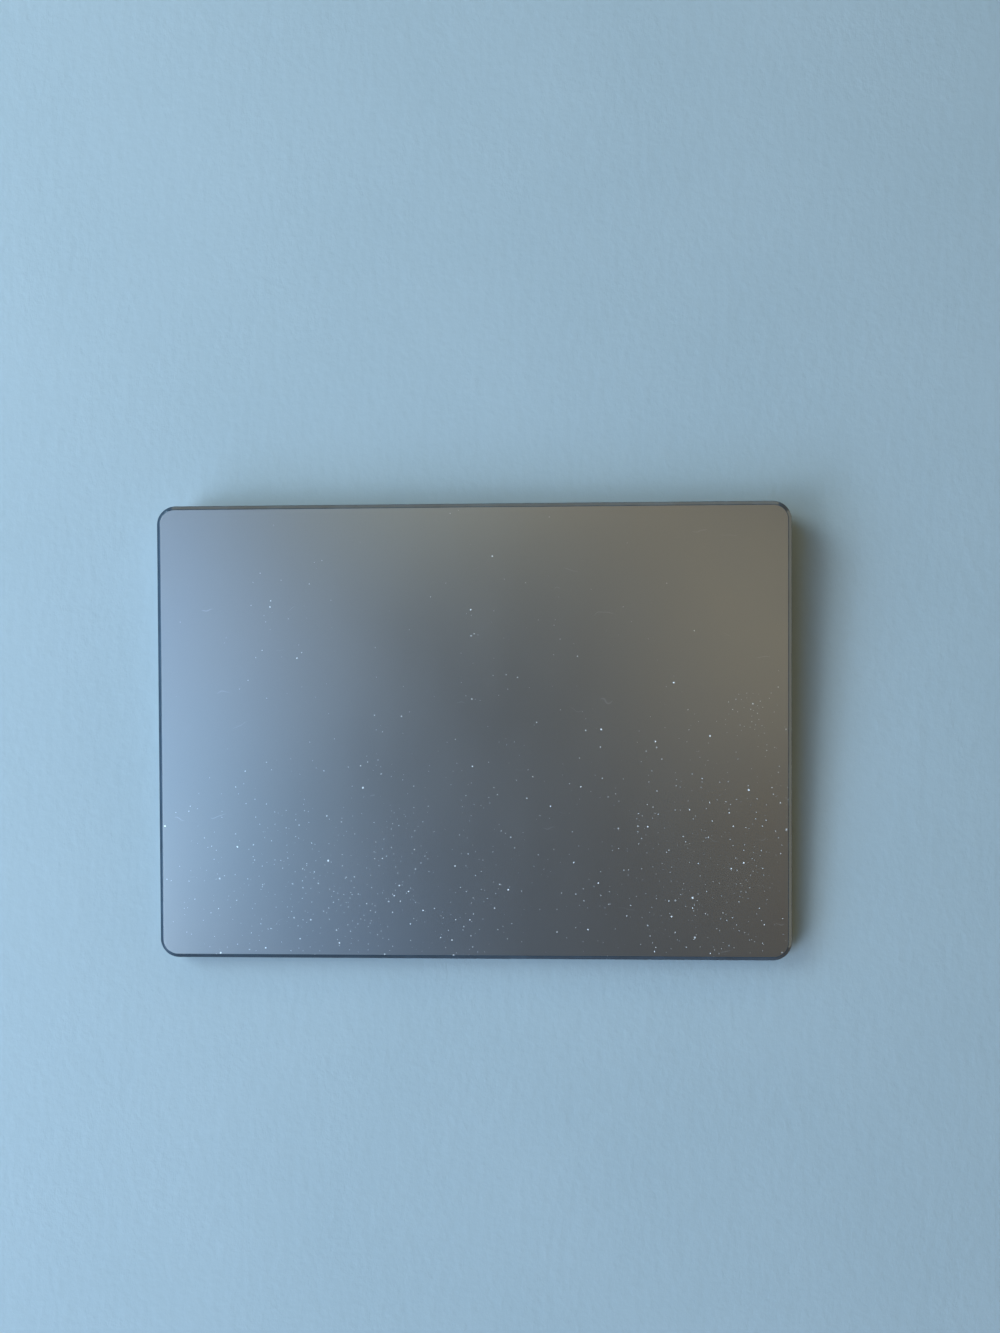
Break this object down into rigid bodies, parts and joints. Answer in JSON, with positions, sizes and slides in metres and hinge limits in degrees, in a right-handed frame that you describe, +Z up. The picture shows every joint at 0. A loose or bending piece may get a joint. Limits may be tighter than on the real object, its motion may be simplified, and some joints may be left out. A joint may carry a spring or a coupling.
{
  "type": "trackpad",
  "caption": "Low wedge-shaped desk trackpad: edge-to-edge satin glass touch deck on leaf springs, aluminium tub, haptic drive, rear charging port and sliding power switch.",
  "frame": {"origin": "on the desk, under the middle of the pad's box", "axes": "+X to the user's right along the width, +Y to the rear thick edge, +Z up"},
  "size_m": [0.16, 0.115, 0.0109],
  "materials": {
    "satin_glass": "satin",
    "clear_film": "gloss",
    "circuit_board": "satin",
    "chip_resin": "matte",
    "connector_resin": "satin",
    "plate_steel": "satin",
    "gel": "gloss",
    "spring_steel": "polished",
    "gauge_foil": "satin",
    "screw_steel": "satin",
    "flex_film": "satin",
    "anodised_aluminium": "satin",
    "cover_polymer": "matte",
    "foot_rubber": "matte",
    "ferrite": "matte",
    "copper_wire": "gloss",
    "battery_wrap": "satin",
    "adhesive_strip": "matte",
    "lead_insulation": "satin",
    "shield_tin": "satin",
    "antenna_ceramic": "satin",
    "coax_jacket": "satin",
    "port_steel": "satin",
    "port_resin": "satin",
    "contact_gold": "polished",
    "indicator_green": "satin",
    "wafer_resin": "matte"
  },
  "bodies": {
    "base": {"leaf_springs": "spring_steel", "strain_gauges": "gauge_foil", "leaf_screws": "screw_steel", "gauge_flexes": "flex_film", "housing": "anodised_aluminium", "bottom_cover": "cover_polymer", "rubber_feet": "foot_rubber", "cover_screws": "screw_steel", "haptic_base": "plate_steel", "haptic_cores": "ferrite", "haptic_coils": "copper_wire", "haptic_screws": "screw_steel", "haptic_flex": "flex_film", "battery_cells": "battery_wrap", "battery_adhesive": "adhesive_strip", "battery_protection_board": "circuit_board", "battery_lead": "lead_insulation", "logic_board": "circuit_board", "board_shield": "shield_tin", "board_chips": "chip_resin", "board_connectors": "connector_resin", "board_screws": "screw_steel", "touch_flex": "flex_film", "antenna": "antenna_ceramic", "antenna_lead": "coax_jacket", "port_shell": "port_steel", "port_tongue": "port_resin", "port_contacts": "contact_gold", "port_body": "port_resin", "port_board": "circuit_board", "port_connector": "connector_resin", "port_bracket": "port_steel", "port_screws": "screw_steel", "port_flex": "flex_film", "switch_indicator": "indicator_green", "switch_frame": "port_steel", "switch_wafer": "wafer_resin", "switch_screws": "screw_steel", "switch_flex": "flex_film"},
    "suspension": {"gel_pads": "gel"},
    "touch_deck": {"touch_glass": "satin_glass", "glass_bond_film": "clear_film", "touch_sensor_board": "circuit_board", "sensor_chips": "chip_resin", "touch_connector": "connector_resin", "deck_stiffener": "plate_steel", "haptic_armature": "plate_steel"},
    "power_switch": {"switch_knob": "anodised_aluminium"}
  },
  "joints": [
    {"name": "press_travel", "type": "slide", "parent": "base", "child": "suspension", "axis": [0, 0.0521, -0.9986], "range_m": [0, 0.00025], "stiffness_N_per_m": 12000, "springref_m": -0.0001, "deforming": ["leaf_springs", "touch_flex"]},
    {"name": "haptic_shift", "type": "slide", "parent": "suspension", "child": "touch_deck", "axis": [0, 0.9986, 0.0521], "range_m": [-0.00015, 0.00015], "stiffness_N_per_m": 20000},
    {"name": "power_switch_slide", "type": "slide", "parent": "base", "child": "power_switch", "axis": [1, 0, 0], "range_m": [0, 0.0022]}
  ]
}
